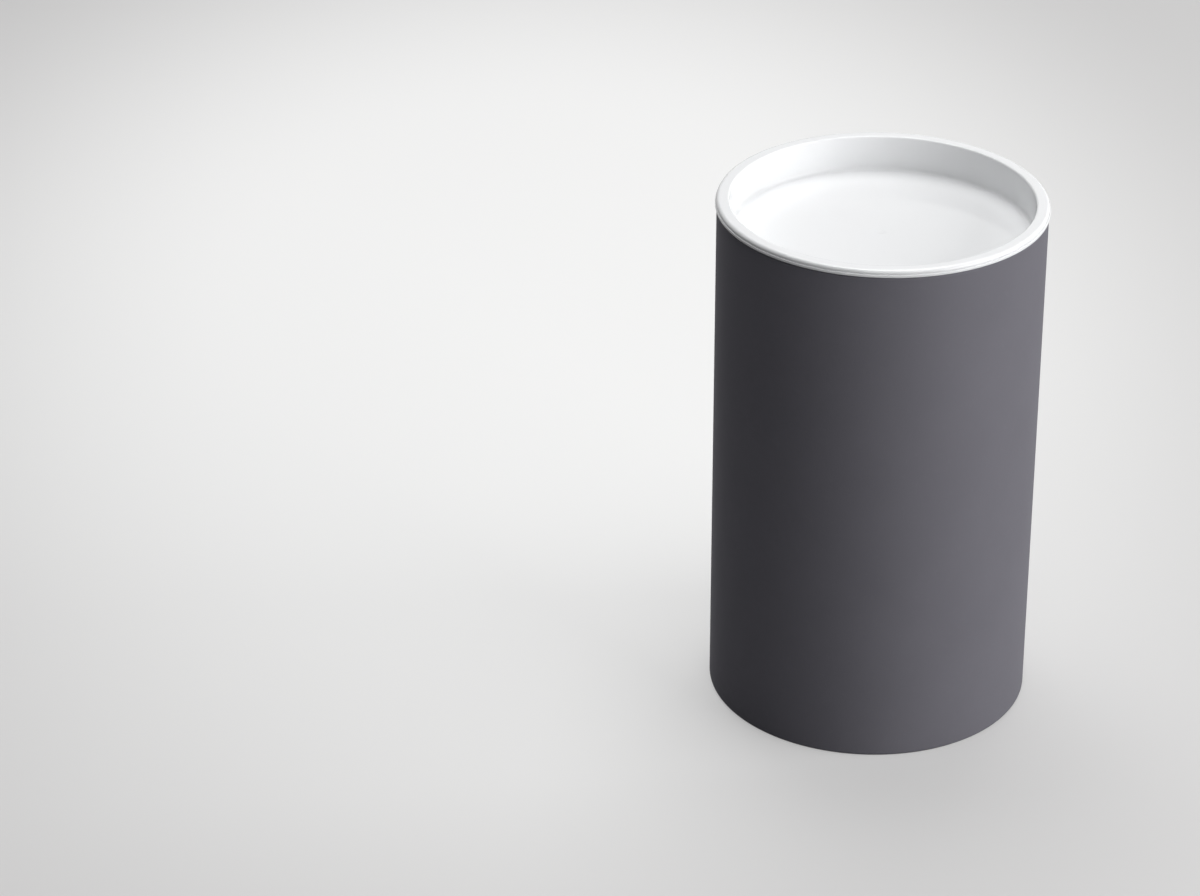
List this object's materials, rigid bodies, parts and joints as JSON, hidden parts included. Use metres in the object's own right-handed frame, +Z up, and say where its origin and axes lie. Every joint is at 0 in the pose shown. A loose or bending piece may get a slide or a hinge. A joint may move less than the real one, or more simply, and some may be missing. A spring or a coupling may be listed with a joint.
{
  "type": "cylindrical gift tube box",
  "caption": "Round board tube wrapped in dark grey paper and lined in white, with a board base and a white plug lid that lifts off its rim.",
  "frame": {"origin": "centre of the tube's foot, on the surface that it stands on", "axes": "+Z up along the tube's axis, -Y towards the front of the picture; the wrap's lap seam is at the back, on +Y"},
  "size_m": [0.0878, 0.0878, 0.1449],
  "materials": {
    "grey_board": "raw grey-brown board with a fibrous cut edge",
    "white_paper": "smooth matt white lining paper",
    "dark_paper": "matt dark grey printed paper with a faint tooth and cloudy mottling",
    "white_plastic": "glossy white injection-moulded plastic"
  },
  "bodies": {
    "tube": {"tube_board": "grey_board", "tube_lining": "white_paper", "base_board": "grey_board", "base_lining": "white_paper", "outer_wrap": "dark_paper", "base_cover": "dark_paper"},
    "lid": {"lid": "white_plastic"}
  },
  "joints": [
    {"name": "lid_lift", "type": "slide", "parent": "tube", "child": "lid", "axis": [0, 0, 1], "range_m": [0, 0.034]}
  ]
}
